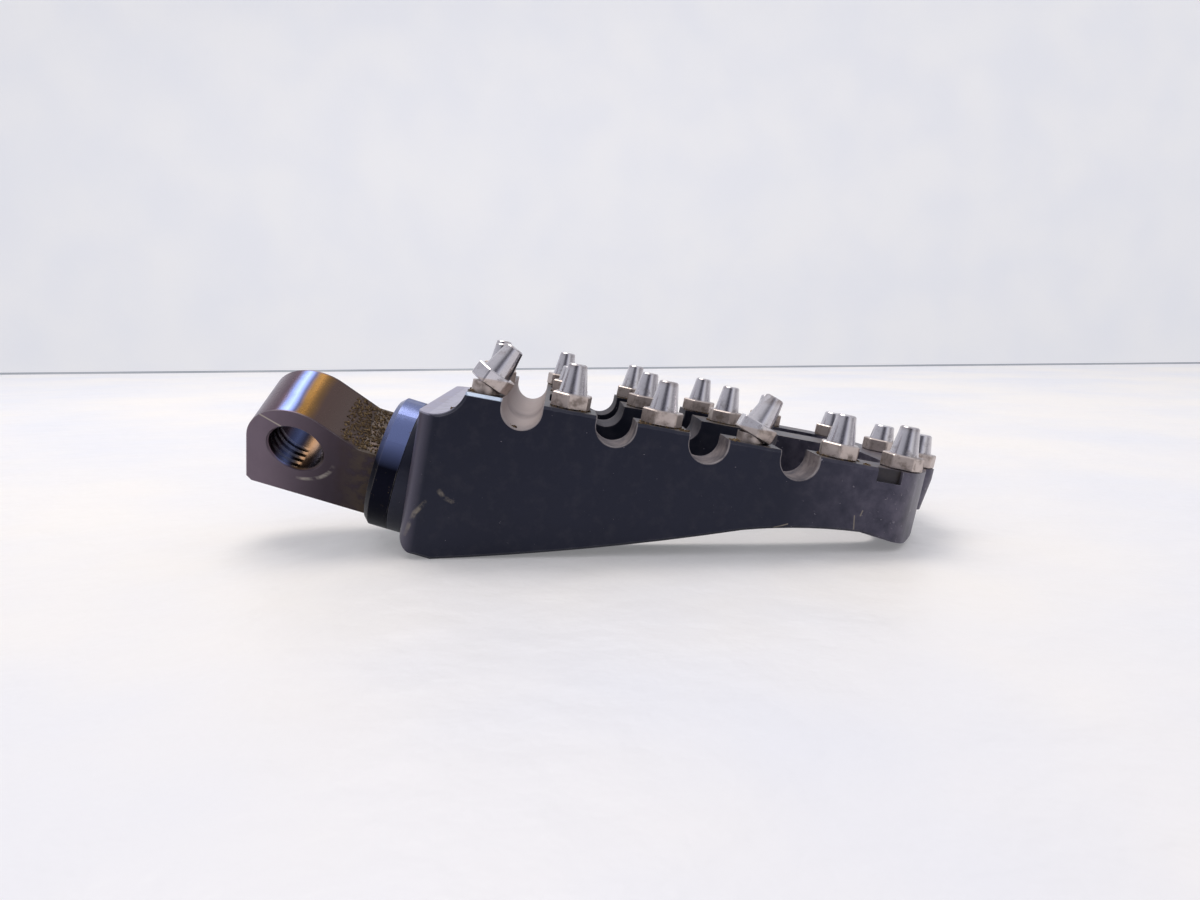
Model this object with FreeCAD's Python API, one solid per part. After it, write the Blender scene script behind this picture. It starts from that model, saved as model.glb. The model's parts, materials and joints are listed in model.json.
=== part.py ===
"""Motocross foot peg: a billet frame with screw-in cleats on a swivelling steel pivot mount.

All sizes are millimetres.  The pieces are drawn in peg axes: x runs out along the peg to its
nose, y from the front wall to the rear wall, and z up from the floor of the cleaning channels.
Every finished piece is then tilted into the pose in which the loose peg lies on a flat surface,
with the row's origin at the centre of the pivot bore, +X towards the nose and +Z up.
"""
import FreeCAD, Part
import math
import os

V = FreeCAD.Vector

# ---- frame of the peg: overall sizes --------------------------------------------------
peg_width = 58.0            # y, front wall to rear wall
inner_end_x = -33.0         # flat inner end face
nose_tip_x = 62.0           # furthest point of the nose
nose_radius = 42.0          # plan radius of the nose
nose_corner_radius = 7.0    # where the nose meets the side walls
inner_corner_radius = 4.0   # upright corners of the inner end
wall = 8.8                  # front and rear walls
rib_centre_y = 34.0
rib_width = 12.0
block_end_x = -12.0         # the solid inner end block stops here
pocket_end_x = nose_tip_x - 11.5   # both pockets stop here, short of the nose
pocket_corner_radius = 4.0
edge_break = 0.5            # chamfer along the outer long edges, top and bottom
nose_edge_break = 0.9       # chamfer round the bottom of the nose

# ---- cleaning channels and deck -------------------------------------------------------
channel_count = 4
channel_pitch = 15.75
channel_radius = 3.35
first_channel_x = -16.2
deck_z = 4.6                # deck height above the channel floors
ledge_length = 2.0          # flat ledge at the inner end, level with the channel floors
ledge_radius = 5.5          # hollow ramp from the ledge up to the deck

# ---- underside, as heights at the points where its curves meet -------------------------
heel_z = -24.2              # lowest line, near the inner end
heel_x = -27.0
heel_radius = 3.0
belly_x = nose_tip_x - 38.0
belly_z = -10.1
waist_x = nose_tip_x - 18.0
waist_z = -6.9
toe_x = nose_tip_x - 6.0    # second line that the peg rests on
toe_z = -8.4
toe_rise = 0.24             # slope of the underside beyond the toe, so that only the toe rests
belly_bow = 0.75            # outward bow of the long slope
waist_bow = 0.55            # inward bow of the curve under the outer lands

# ---- cleats: hexagon-headed screws with a coned point ----------------------------------
hex_across_flats = 6.35
hex_height = 2.55
hex_edge_break = 0.2
cone_base_radius = 2.45
cone_top_radius = 1.6
tall_cone = 5.0
cone_edge = 0.2
stud_radius = 2.4
stud_length = 5.5
stud_point = 0.6
tapped_hole_gap = 0.03
tapped_hole_extra = 1.0
nose_inset = 3.3            # nose cleats stand this far in from the nose's edge
lobe_inset = 1.8            # the one on a lobe is nearer to it
lobed_cleat = "cleat_nose_2"
nose_angles = (-38.0, -16.5, 8.5, 33.0)
boss_top_radius = 3.6       # small lobe that carries the cleat at the very end
boss_low_radius = 2.8
boss_lip = 2.0              # straight part of a lobe, below the deck
boss_depth = 8.0
inner_land_shift = 3.25     # the first cleats stand this far in from the edge of channel 1
row_inset = 5.0             # the outer rows stand this far in from the walls' outer faces
rear_row_shift = -1.2       # the rear row stands a little nearer the mount than mid-land
off_land = {"cleat_rib_4": 1.3}   # and the outermost on the rib a little nearer the nose

# ---- small notch in the front edge of the deck, beside the first nose cleat ------------
notch_start_x = 44.6
notch_end_x = 49.0
notch_depth = 1.2           # into the front wall
notch_drop = 2.3            # below the deck

# ---- swivelling pivot mount ------------------------------------------------------------
axis_y = 16.5               # the mount is offset towards the front wall
axis_z = -12.75             # height of its axis at the inner end face
axis_rise = 7.0             # degrees, rising away from the peg
swivel = -34.0              # degrees, turned in its seat so that the eye's top leans to the front
collar_radius = 12.0
collar_thickness = 4.3
collar_edge = 0.9
boss_length = 2.2           # round seat that stands out of the inner end face
seat_gap = 0.1
pin_diameter = 9.525        # three-eighths pivot pin
pin_clearance = 0.075       # on the diameter
bore_edge = 0.4
eye_thickness = 11.7
eye_radius = 8.6
eye_reach = 14.5            # collar face to bore centre
eye_lift = 2.0              # bore centre above the mount's axis
sole_drop = 9.3             # flat underside of the eye below the mount's axis
neck_rise = 6.4             # top of the neck above the mount's axis, at the collar
neck_slope = 25.0           # degrees, from the neck up to the round of the eye
heel_chamfer = 0.9
spigot_radius = 7.9
spigot_length = 11.0
spigot_edge = 0.6
spigot_clearance = 0.05
spigot_end_gap = 0.5

# ---- clamp screw and washer that hold the mount in the frame ---------------------------
screw_radius = 3.175
screw_hole_radius = 3.5
screw_engagement = 8.5
screw_tap_extra = 1.5
head_radius = 4.76
head_height = 6.35
head_edge = 0.4
socket_across_flats = 4.76
socket_depth = 3.2
washer_radius = 5.9
washer_thickness = 1.2
washer_hole_radius = 3.5
head_gap = 0.1
counterbore_clearance = 0.35
web_thickness = 4.0         # between the bottom of the spigot bore and the counterbore

REACH = 400.0               # longer than the peg, for cutting tools that run right through

# bent cleats: (degrees leaned over towards the nose)
bent = {"cleat_front_1": 26.0, "cleat_front_4": 20.0}
# height of the cones that are worn down or were the short kind
short_cones = {
    "cleat_rib_2": 3.0, "cleat_rib_3": 4.7, "cleat_rear_5": 3.9,
    "cleat_nose_2": 3.5, "cleat_nose_3": 3.0, "cleat_nose_4": 3.0,
}
# where each hexagon came to rest, degrees; the rest follow the screw's own lead
hex_turns = {
    "cleat_front_1": 12.0, "cleat_front_2": 20.0, "cleat_front_3": 3.0, "cleat_front_4": 27.0,
    "cleat_front_5": 14.0, "cleat_nose_1": 40.0,
}
thread_lead_turn = 37.0


# ---- placing -----------------------------------------------------------------------------
def axis_frame():
    """Placement whose x runs out of the peg along the mount's axis, z up, origin at the seat."""
    turn = FreeCAD.Rotation(V(0, 1, 0), axis_rise)
    turn = turn.multiply(FreeCAD.Rotation(V(0, 0, 1), 180.0))
    on_face = V(inner_end_x, axis_y, axis_z)
    seat = on_face + turn.multVec(V(boss_length, 0, 0))
    return FreeCAD.Placement(seat, turn)


def mount_frame():
    """The same placement turned about the axis by the mount's swivel."""
    roll = FreeCAD.Placement(V(0, 0, 0), FreeCAD.Rotation(V(1, 0, 0), swivel))
    return axis_frame().multiply(roll)


def bore_centre_local():
    return V(seat_gap + collar_thickness + eye_reach, 0, eye_lift)


def rest_placement():
    """Peg axes to the row's frame: level on its two resting lines, pivot bore at the origin."""
    tilt = math.degrees(math.atan2(toe_z - heel_z, toe_x - heel_x))
    turn = FreeCAD.Rotation(V(0, 1, 0), tilt)
    bore = mount_frame().multVec(bore_centre_local())
    return FreeCAD.Placement(turn.multVec(bore) * -1.0, turn)


def placed(shape, placement):
    copy = shape.copy()
    copy.Placement = placement.multiply(copy.Placement)
    return copy


# ---- small shape helpers -------------------------------------------------------------------
def line(start, end):
    return Part.makeLine(start, end)


def arc(start, through, end):
    return Part.Arc(start, through, end).toShape()


def solid_of(edges, sweep):
    return Part.Face(Part.Wire(edges)).extrude(sweep)


def rod(radius, length, start=0.0, axis=V(1, 0, 0), at=V(0, 0, 0)):
    return Part.makeCylinder(radius, length, at + axis * start, axis)


def hexagon(across_flats, height, turn=0.0):
    corner = across_flats / math.sqrt(3.0)
    points = []
    for side in range(7):
        angle = math.radians(turn + 60.0 * side)
        points.append(V(corner * math.cos(angle), corner * math.sin(angle), 0))
    return Part.Face(Part.makePolygon(points)).extrude(V(0, 0, height))


# ---- peg frame ---------------------------------------------------------------------------
def nose_centre_x():
    return nose_tip_x - nose_radius


def plan_outline():
    """Outline seen from above: square inner end, straight walls, full-width rounded nose."""
    middle = peg_width / 2.0
    corner = nose_corner_radius
    centre_x = nose_centre_x()
    reach = math.sqrt((nose_radius - corner) ** 2 - (middle - corner) ** 2)
    corner_x = centre_x + reach
    away = math.atan2(middle - corner, reach)
    inner = inner_corner_radius
    diagonal = inner * (1.0 - math.sqrt(0.5))
    front_join = V(centre_x + nose_radius * math.cos(away), middle - nose_radius * math.sin(away), 0)
    rear_join = V(front_join.x, peg_width - front_join.y, 0)
    half = (math.pi / 2.0 + away) / 2.0
    front_mid = V(corner_x + corner * math.cos(half), corner - corner * math.sin(half), 0)
    rear_mid = V(front_mid.x, peg_width - front_mid.y, 0)
    return [
        line(V(inner_end_x + inner, 0, 0), V(corner_x, 0, 0)),
        arc(V(corner_x, 0, 0), front_mid, front_join),
        arc(front_join, V(nose_tip_x, middle, 0), rear_join),
        arc(rear_join, rear_mid, V(corner_x, peg_width, 0)),
        line(V(corner_x, peg_width, 0), V(inner_end_x + inner, peg_width, 0)),
        arc(V(inner_end_x + inner, peg_width, 0),
            V(inner_end_x + diagonal, peg_width - diagonal, 0),
            V(inner_end_x, peg_width - inner, 0)),
        line(V(inner_end_x, peg_width - inner, 0), V(inner_end_x, inner, 0)),
        arc(V(inner_end_x, inner, 0), V(inner_end_x + diagonal, diagonal, 0),
            V(inner_end_x + inner, 0, 0)),
    ]


def bowed(start, end, bow):
    """Arc between two points, bowed down by the given amount at its middle."""
    return arc(start, (start + end) * 0.5 + V(0, 0, -bow), end)


def side_outline():
    """Outline seen from the front: deck, hollow ramp, ledge and the curved underside."""
    far_x = nose_tip_x + nose_corner_radius
    ramp_x = inner_end_x + ledge_length
    rise = math.sqrt(ledge_radius ** 2 - (ledge_radius - deck_z) ** 2)
    ramp_mid = math.atan2(rise, ledge_radius - deck_z) / 2.0
    heel_turn = heel_radius * (1.0 - math.sqrt(0.5))
    heel = V(heel_x, 0, heel_z)
    heel_low = V(inner_end_x + heel_radius, 0, heel_z + 0.35)
    heel_high = V(inner_end_x, 0, heel_low.z + heel_radius)
    belly = V(belly_x, 0, belly_z)
    waist = V(waist_x, 0, waist_z)
    toe = V(toe_x, 0, toe_z)
    far_low = toe + V(far_x - toe_x, 0, toe_rise * (far_x - toe_x))
    return [
        line(V(far_x, 0, deck_z), V(ramp_x + rise, 0, deck_z)),
        arc(V(ramp_x + rise, 0, deck_z),
            V(ramp_x + ledge_radius * math.sin(ramp_mid), 0,
              ledge_radius * (1.0 - math.cos(ramp_mid))),
            V(ramp_x, 0, 0)),
        line(V(ramp_x, 0, 0), V(inner_end_x, 0, 0)),
        line(V(inner_end_x, 0, 0), heel_high),
        arc(heel_high, V(inner_end_x + heel_turn, 0, heel_low.z + heel_turn), heel_low),
        line(heel_low, heel),
        bowed(heel, belly, belly_bow),
        bowed(belly, waist, -waist_bow),
        line(waist, toe),
        line(toe, far_low),
        line(far_low, V(far_x, 0, deck_z)),
    ]


def frame_blank():
    from_above = solid_of(plan_outline(), V(0, 0, 2 * REACH))
    from_above.translate(V(0, 0, -REACH))
    from_front = solid_of(side_outline(), V(0, peg_width, 0))
    outer = [edge for edge in from_front.Edges
             if edge.BoundBox.YMax < edge_break or edge.BoundBox.YMin > peg_width - edge_break]
    from_front = from_front.makeChamfer(edge_break, outer)
    blank = from_front.common(from_above).removeSplitter()
    under_nose = [edge for edge in blank.Edges
                  if edge.BoundBox.XMin > toe_x - nose_edge_break and edge.BoundBox.ZMax < 0.0
                  and edge.BoundBox.ZLength < nose_tip_x - toe_x
                  and edge.BoundBox.XLength > nose_edge_break]
    return blank.makeChamfer(nose_edge_break, under_nose)


def channel_x(index):
    return first_channel_x + channel_pitch * (index - 1)


def channel_tool(index):
    centre = V(channel_x(index), -REACH, channel_radius)
    tool = Part.makeCylinder(channel_radius, 2 * REACH, centre, V(0, 1, 0))
    slot = Part.makeBox(2 * channel_radius, 2 * REACH, REACH,
                        V(centre.x - channel_radius, -REACH, channel_radius))
    return tool.fuse(slot)


def pocket_tool(low_y, high_y):
    radius = min(pocket_corner_radius, (high_y - low_y) / 2.0 - 0.1)
    box = Part.makeBox(pocket_end_x - block_end_x, high_y - low_y, 2 * REACH,
                       V(block_end_x, low_y, -REACH))
    upright = [edge for edge in box.Edges if edge.Length > REACH]
    return box.makeFillet(radius, upright)


def cleat_boss(position):
    """Lobe under a nose cleat, tapering back into the nose below the deck."""
    low = position - V(0, 0, boss_depth)
    taper = Part.makeCone(boss_low_radius, boss_top_radius, boss_depth - boss_lip, low)
    lip = Part.makeCylinder(boss_top_radius, boss_lip, position - V(0, 0, boss_lip))
    return taper.fuse(lip)


def tapped_hole(position):
    depth = stud_length + tapped_hole_extra
    floor = V(position.x, position.y, deck_z - depth)
    return Part.makeCylinder(stud_radius + tapped_hole_gap, depth + 1.0, floor)


def seat_depth():
    """Depth of the counterbore's floor below the seat face, along the mount's axis."""
    return spigot_length + spigot_end_gap + web_thickness


def mount_seat():
    """Round seat for the collar, square to the mount's axis."""
    seat = rod(collar_radius, REACH / 10.0, axis=V(-1, 0, 0))
    keep = Part.makeBox(REACH / 4.0, 2 * REACH, 2 * REACH, V(inner_end_x - REACH / 4.0 + 1.0,
                                                            -REACH, -REACH))
    return placed(seat, axis_frame()).common(keep)


def mount_bores():
    """Spigot bore, screw hole and counterbore, all on the mount's axis."""
    inward = V(-1, 0, 0)
    bore = rod(spigot_radius + spigot_clearance, spigot_length + spigot_end_gap + 1.0,
               start=-1.0, axis=inward)
    hole = rod(screw_hole_radius, seat_depth() + 1.0, axis=inward)
    recess = rod(washer_radius + counterbore_clearance, REACH / 8.0, start=seat_depth(), axis=inward)
    return placed(bore.fuse([hole, recess]), axis_frame())


def peg_body(cleats):
    body = frame_blank().fuse(mount_seat())
    body = body.fuse([cleat_boss(position) for name, position in cleats if name == lobed_cleat])
    rib_front = rib_centre_y - rib_width / 2.0
    rib_rear = rib_centre_y + rib_width / 2.0
    tools = [channel_tool(index) for index in range(1, channel_count + 1)]
    tools.append(pocket_tool(wall, rib_front))
    tools.append(pocket_tool(rib_rear, peg_width - wall))
    tools.append(Part.makeBox(notch_end_x - notch_start_x, REACH, REACH,
                              V(notch_start_x, notch_depth - REACH, deck_z - notch_drop)))
    tools.extend(tapped_hole(position) for name, position in cleats)
    tools.append(mount_bores())
    return body.cut(tools).removeSplitter()


# ---- cleats --------------------------------------------------------------------------------
def land_x(index):
    """Middle of the land before the numbered channel; the first land is the short inner one."""
    if index == 1:
        return channel_x(1) - channel_radius - inner_land_shift
    return (channel_x(index - 1) + channel_x(index)) / 2.0


def cleat_layout():
    """Name and deck position of every cleat."""
    layout = []
    rows = (("front", row_inset, channel_count + 1, 0.0),
            ("rib", rib_centre_y, channel_count, 0.0),
            ("rear", peg_width - row_inset, channel_count + 1, rear_row_shift))
    for row, row_y, count, shift in rows:
        for index in range(1, count + 1):
            name = f"cleat_{row}_{index}"
            x = land_x(index) + off_land.get(name, shift)
            layout.append((name, V(x, row_y, deck_z)))
    for index, angle in enumerate(nose_angles, start=1):
        name = f"cleat_nose_{index}"
        inset = lobe_inset if name == lobed_cleat else nose_inset
        reach = nose_radius - inset
        layout.append((name, V(nose_centre_x() + reach * math.cos(math.radians(angle)),
                               peg_width / 2.0 + reach * math.sin(math.radians(angle)), deck_z)))
    return layout


def cleat_head(turn, cone_height):
    """Hexagon and coned point, standing on z = 0."""
    head = hexagon(hex_across_flats, hex_height, turn)
    head = head.makeChamfer(hex_edge_break, head.Edges)
    taper = (cone_base_radius - cone_top_radius) / tall_cone
    top_radius = cone_base_radius - taper * cone_height
    cone = Part.makeCone(cone_base_radius, top_radius, cone_height, V(0, 0, hex_height))
    top = [edge for edge in cone.Edges
           if edge.Closed and edge.BoundBox.ZMin > hex_height + cone_height / 2.0]
    return head.fuse(cone.makeChamfer(cone_edge, top))


def cleat_stud(extra):
    """Threaded stud below the deck; a bent one shows a little of it above the deck."""
    stud = Part.makeCylinder(stud_radius, stud_length + extra, V(0, 0, -stud_length))
    foot = [edge for edge in stud.Edges if edge.Closed and edge.BoundBox.ZMax < -stud_length / 2.0]
    return stud.makeChamfer(stud_point, foot)


def cleat(name, position, number):
    turn = hex_turns.get(name, (thread_lead_turn * number) % 60.0)
    cone_height = short_cones.get(name, tall_cone)
    lean = bent.get(name, 0.0)
    head = cleat_head(turn, cone_height)
    lifted = 0.0
    if lean:
        head.rotate(V(hex_across_flats / 2.0, 0, 0), V(0, 1, 0), lean)
        head.translate(V(0, 0, -min(vertex.Z for vertex in head.Vertexes)))
        lifted = (hex_across_flats / 2.0 + stud_radius / 2.0) * math.sin(math.radians(lean))
    shape = head.fuse(cleat_stud(lifted)).removeSplitter()
    shape.translate(position)
    return shape


# ---- pivot mount ---------------------------------------------------------------------------
def eye_outline():
    """Side outline of the eye and neck in the mount's own x (outwards) and z."""
    face_x = seat_gap + collar_thickness - collar_edge
    bore = bore_centre_local()
    end_x = bore.x + eye_radius
    slope = math.radians(neck_slope)
    tangent = V(bore.x - eye_radius * math.sin(slope), 0, bore.z + eye_radius * math.cos(slope))
    crown = V(bore.x + eye_radius * math.sin(slope), 0, bore.z + eye_radius * math.cos(slope))
    neck_x = tangent.x - (tangent.z - neck_rise) / math.tan(slope)
    return [
        line(V(face_x, 0, -sole_drop), V(end_x - heel_chamfer, 0, -sole_drop)),
        line(V(end_x - heel_chamfer, 0, -sole_drop), V(end_x, 0, heel_chamfer - sole_drop)),
        line(V(end_x, 0, heel_chamfer - sole_drop), V(end_x, 0, bore.z)),
        arc(V(end_x, 0, bore.z), crown, tangent),
        line(tangent, V(neck_x, 0, neck_rise)),
        line(V(neck_x, 0, neck_rise), V(face_x, 0, neck_rise)),
        line(V(face_x, 0, neck_rise), V(face_x, 0, -sole_drop)),
    ]


def pivot_bore():
    radius = (pin_diameter + pin_clearance) / 2.0
    centre = bore_centre_local()
    centre.y = -eye_thickness / 2.0
    bore = Part.makeCylinder(radius, eye_thickness, centre, V(0, 1, 0))
    tools = [bore]
    for side in (-1.0, 1.0):
        mouth = V(centre.x, side * eye_thickness / 2.0, centre.z)
        tools.append(Part.makeCone(radius + bore_edge, radius, bore_edge, mouth, V(0, -side, 0)))
    return tools


def pivot_mount():
    eye = solid_of(eye_outline(), V(0, eye_thickness, 0))
    eye.translate(V(0, -eye_thickness / 2.0, 0))
    collar = rod(collar_radius, collar_thickness, start=seat_gap)
    outer_x = seat_gap + collar_thickness
    rim = [edge for edge in collar.Edges if edge.Closed and edge.BoundBox.XMin > outer_x - 0.1]
    collar = collar.makeChamfer(collar_edge, rim)
    spigot = rod(spigot_radius, spigot_length + seat_gap, start=-seat_gap, axis=V(-1, 0, 0))
    inner = [edge for edge in spigot.Edges if edge.Closed and edge.BoundBox.XMax < -spigot_length / 2.0]
    spigot = spigot.makeChamfer(spigot_edge, inner)
    thread = rod(screw_radius + tapped_hole_gap, screw_engagement + screw_tap_extra + 1.0,
                 start=-spigot_length - 1.0)
    mount = collar.fuse([eye, spigot]).cut(pivot_bore() + [thread]).removeSplitter()
    return placed(mount, mount_frame())


# ---- clamp screw and washer ---------------------------------------------------------------
def clamp_washer():
    disc = rod(washer_radius, washer_thickness, start=seat_depth(), axis=V(-1, 0, 0))
    hole = rod(washer_hole_radius, 3 * washer_thickness, start=seat_depth() - washer_thickness,
               axis=V(-1, 0, 0))
    return placed(disc.cut(hole), axis_frame())


def clamp_screw():
    """Socket-head screw; drawn along -x from the spigot's thread to its head."""
    inward = V(-1, 0, 0)
    head_start = seat_depth() + washer_thickness + head_gap
    shank_start = spigot_length - screw_engagement
    shank = rod(screw_radius, head_start - shank_start, start=shank_start, axis=inward)
    head = rod(head_radius, head_height, start=head_start, axis=inward)
    outer = [edge for edge in head.Edges
             if edge.Closed and edge.BoundBox.XMax < -head_start - head_height / 2.0]
    head = head.makeChamfer(head_edge, outer)
    socket = hexagon(socket_across_flats, socket_depth + 1.0)
    socket.rotate(V(0, 0, 0), V(0, 1, 0), 90.0)
    socket.translate(V(-head_start - head_height - 1.0, 0, 0))
    return placed(shank.fuse(head).cut(socket), mount_frame())


# ---- build --------------------------------------------------------------------------------
def build():
    cleats = cleat_layout()
    nodes = {
        "peg_body": peg_body(cleats),
        "pivot_mount": pivot_mount(),
        "clamp_screw": clamp_screw(),
        "clamp_washer": clamp_washer(),
    }
    for number, (name, position) in enumerate(cleats, start=1):
        nodes[name] = cleat(name, position, number)
    return nodes


os.makedirs("parts", exist_ok=True)
to_row = rest_placement()
for node_name, node_shape in build().items():
    placed(node_shape, to_row).exportStep(f"parts/{node_name}.step")
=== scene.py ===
# %% [markdown]
# # A motocross foot peg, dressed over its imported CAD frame
# The peg is three things to the eye: a black anodised billet frame, bright stainless cleats
# screwed into it, and a heat-blued steel mount with an eye. The CAD model already holds every
# shape, so most of the work here is finishes. The loose dirt is the only thing added as geometry.

# %% Load the frame
import json
import math

import bpy
from mathutils import Euler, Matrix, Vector


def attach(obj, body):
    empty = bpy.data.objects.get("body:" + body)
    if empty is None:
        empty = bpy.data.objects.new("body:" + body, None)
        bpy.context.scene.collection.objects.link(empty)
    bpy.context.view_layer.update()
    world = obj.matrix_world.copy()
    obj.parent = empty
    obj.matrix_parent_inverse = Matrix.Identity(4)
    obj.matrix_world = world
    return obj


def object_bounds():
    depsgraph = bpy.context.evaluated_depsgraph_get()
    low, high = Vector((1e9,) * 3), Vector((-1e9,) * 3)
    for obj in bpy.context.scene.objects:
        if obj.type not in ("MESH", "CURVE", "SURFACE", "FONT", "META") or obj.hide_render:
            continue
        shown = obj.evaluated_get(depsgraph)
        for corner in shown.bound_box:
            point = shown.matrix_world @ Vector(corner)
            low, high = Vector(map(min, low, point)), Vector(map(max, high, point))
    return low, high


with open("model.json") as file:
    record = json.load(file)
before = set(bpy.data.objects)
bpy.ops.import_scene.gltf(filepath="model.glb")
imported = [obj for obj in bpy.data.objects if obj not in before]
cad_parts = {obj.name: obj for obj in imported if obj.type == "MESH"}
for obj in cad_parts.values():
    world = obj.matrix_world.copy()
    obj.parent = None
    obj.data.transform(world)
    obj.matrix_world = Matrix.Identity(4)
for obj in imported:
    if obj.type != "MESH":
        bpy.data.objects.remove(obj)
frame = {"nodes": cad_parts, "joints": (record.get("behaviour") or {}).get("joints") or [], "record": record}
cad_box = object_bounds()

MM = 0.001

# %% [markdown]
# ## Two sets of axes
# The row's frame is level with the table, because the loose peg leans on its heel and its toe.
# The peg's own axes are tilted with its deck: x along the peg, y across it, z square to the deck.
# Channels, lands and cleats line up with those, so the patterns are worked out there. The tilt
# and the place of the peg's origin are design values; the mount's axis comes from its joint.

# %% Peg axes and mount axes
HEEL_TO_TOE_DROP, HEEL_TO_TOE_RUN = 15.8, 83.0   # mm, along the underside
PEG_TILT = math.atan2(HEEL_TO_TOE_DROP, HEEL_TO_TOE_RUN)
PIVOT_IN_PEG = Vector((-53.7407, 15.3816, -8.5328))   # the row's origin, in peg axes, mm
PEG_TURN = Euler((0.0, PEG_TILT, 0.0)).to_matrix()
DECK = 4.6                                    # deck height in peg axes, mm
HEX_TOP = 7.15                                # top of the cleats' hexagons, mm
CHANNEL_COUNT = 4
CHANNEL_FIRST = -16.2                         # middle of the first channel, mm along the peg
CHANNEL_PITCH = 15.75
CHANNEL_RADIUS = 3.35
LAST_CHANNEL_END = 36.0                       # there are no channels beyond, mm


def peg_point(x, y, z):
    """A point given in peg axes (mm), in the row's frame (m)."""
    return PEG_TURN @ (Vector((x, y, z)) - PIVOT_IN_PEG) * MM


swivel = frame["joints"][0]
SEAT = Vector(swivel["pos_m"])
MOUNT_X = Vector(swivel["axis"]).normalized()
PIVOT_Y = Vector(next(m["axis"] for m in frame["record"]["mounts"] if m["name"] == "pivot_bore"))
MOUNT_Z = MOUNT_X.cross(PIVOT_Y).normalized()
MOUNT_Y = MOUNT_Z.cross(MOUNT_X)


def mount_point(x, y, z):
    """A point given along, across and above the mount's axis (mm), in the row's frame (m)."""
    return SEAT + (MOUNT_X * x + MOUNT_Y * y + MOUNT_Z * z) * MM


print("peg tilt", round(math.degrees(PEG_TILT), 2), "mount z", [round(v, 3) for v in MOUNT_Z])

# %% [markdown]
# ## Camera
# A wide lens held close and a little above the table, looking at the front wall. Close and wide
# is what makes the near cleats so much larger than the far ones.

# %% Camera
CAMERA_PLACE = Vector((45.3, -150.8, 18.5))   # mm
CAMERA_HEADING = -2.79                        # degrees about Z
CAMERA_DROP = 8.63                            # degrees below level
LENS, SENSOR = 24.9, 36.0                     # mm
NEAREST_SEEN = 0.01                           # m
camera_data = bpy.data.cameras.new("camera")
camera_data.lens = LENS
camera_data.sensor_width = SENSOR
camera_data.clip_start = NEAREST_SEEN
camera = bpy.data.objects.new("camera", camera_data)
camera.location = CAMERA_PLACE * MM
camera.rotation_euler = Euler((math.radians(90.0 - CAMERA_DROP), 0.0,
                               math.radians(CAMERA_HEADING)))
bpy.context.scene.collection.objects.link(camera)
bpy.context.scene.camera = camera
print("camera at", [round(v, 4) for v in camera.location])

# %% [markdown]
# ## Colours and nodes
# Paint and anodising are known by their screen colours, but shaders work in linear light. One
# function turns a hex value to linear. Another adds any node with its settings and its links, so
# each material below reads as a short list of layers.

# %% Helpers for materials
EDGE_SAMPLES = 6
EDGE_COSINES = (0.985, 0.9)                   # face against its rounded self, plain to worn
STREAK_CORE = 0.4                             # share of a streak's half width that is full


def linear(code):
    """An sRGB hex colour as linear RGBA."""
    parts = [int(code[i:i + 2], 16) / 255.0 for i in (1, 3, 5)]
    return [c / 12.92 if c <= 0.04045 else ((c + 0.055) / 1.055) ** 2.4 for c in parts] + [1.0]


def add(tree, kind, inputs=None, **settings):
    """Adds one node. Settings are its properties; inputs are values, or sockets to link from."""
    made = tree.nodes.new(kind)
    for name, value in settings.items():
        setattr(made, name, value)
    for key, value in (inputs or {}).items():
        if isinstance(value, bpy.types.NodeSocket):
            tree.links.new(value, made.inputs[key])
        else:
            made.inputs[key].default_value = value
    return made


def start(name):
    """A new material, with its tree and its shader."""
    material = bpy.data.materials.new(name)
    material.use_nodes = True
    tree = material.node_tree
    return material, tree, tree.nodes["Principled BSDF"]


def peg_axes(tree):
    """Sockets for a point in peg axes, in millimetres: the whole vector, x, y and z."""
    place = add(tree, "ShaderNodeTexCoord").outputs["Object"]
    turned = add(tree, "ShaderNodeMapping", {
        "Vector": place, "Scale": (1 / MM,) * 3, "Rotation": (0.0, -PEG_TILT, 0.0),
        "Location": PIVOT_IN_PEG}).outputs[0]
    split = add(tree, "ShaderNodeSeparateXYZ", {0: turned})
    return turned, split.outputs[0], split.outputs[1], split.outputs[2]


def step(tree, value, low, high):
    """0 where value is under low, 1 where it is over high, and even between; low may be larger."""
    return add(tree, "ShaderNodeMapRange", {
        "Value": value, "From Min": low, "From Max": high}).outputs[0]


def both(tree, first, second, operation="MULTIPLY"):
    """One sum on two values; a product unless told otherwise."""
    return add(tree, "ShaderNodeMath", {0: first, 1: second}, operation=operation).outputs[0]


def within(tree, value, rise, fall):
    """1 between two soft ends, each given as where the mask is 0 and where it is 1."""
    return both(tree, step(tree, value, *rise), step(tree, value, *fall))


def weighted(tree, base, *parts):
    """A base value plus masks, each times its own weight."""
    total = base
    for mask, weight in parts:
        total = both(tree, both(tree, mask, weight), total, "ADD")
    return total


def layer(tree, under, over, mask, strength=1.0):
    """Mixes colour over onto colour under where the mask is 1, at most by the strength."""
    if strength < 1.0:
        mask = both(tree, mask, strength)
    mixed = add(tree, "ShaderNodeMix", {"Factor": mask}, data_type="RGBA")
    for socket, colour in ((mixed.inputs[6], under), (mixed.inputs[7], over)):
        if isinstance(colour, bpy.types.NodeSocket):
            tree.links.new(colour, socket)
        else:
            socket.default_value = colour
    return mixed.outputs[2]


def noise(tree, place, size, detail=3.0, roughness=0.5):
    """Cloudy value between 0 and 1, with features of about that size in the units of place."""
    return add(tree, "ShaderNodeTexNoise", {
        "Vector": place, "Scale": 1.0 / size, "Detail": detail,
        "Roughness": roughness}).outputs["Fac"]


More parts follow.
